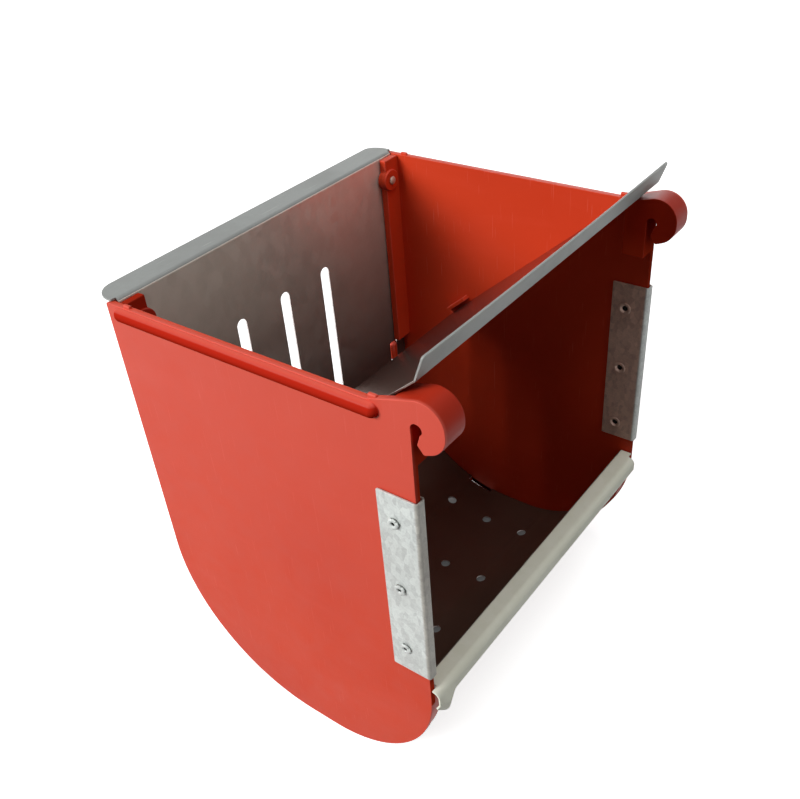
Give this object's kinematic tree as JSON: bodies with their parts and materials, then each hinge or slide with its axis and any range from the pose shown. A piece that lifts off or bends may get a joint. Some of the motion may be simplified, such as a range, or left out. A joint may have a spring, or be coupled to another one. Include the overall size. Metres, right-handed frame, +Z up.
{
  "type": "hanging hopper feeder",
  "caption": "Hopper feeder that hooks over a cage wire: moulded side panels, a folded sheet trough with a slotted back and rolled lip, a sloping baffle and channel edge guards.",
  "frame": {"origin": "centre of the bounding box's underside, under the feeder's rounded floor", "axes": "+X across the feeder to the right-hand panel as seen from the feeding side, +Y from the feeding side to the slotted back wall, +Z up"},
  "size_m": [0.155, 0.1394, 0.1821],
  "materials": {
    "red_plastic": "satin moulded",
    "zinc_sheet": "dull galvanised",
    "bright_zinc": "bright galvanised"
  },
  "bodies": {
    "root": {"left_side_panel": "red_plastic", "right_side_panel": "red_plastic", "trough_sheet": "zinc_sheet", "baffle_sheet": "zinc_sheet", "left_edge_guard": "bright_zinc", "right_edge_guard": "bright_zinc", "left_guard_eyelet_upper": "bright_zinc", "left_guard_eyelet_middle": "bright_zinc", "left_guard_eyelet_lower": "bright_zinc", "left_corner_rivet": "bright_zinc", "right_guard_eyelet_upper": "bright_zinc", "right_guard_eyelet_middle": "bright_zinc", "right_guard_eyelet_lower": "bright_zinc", "right_corner_rivet": "bright_zinc"}
  },
  "joints": []
}
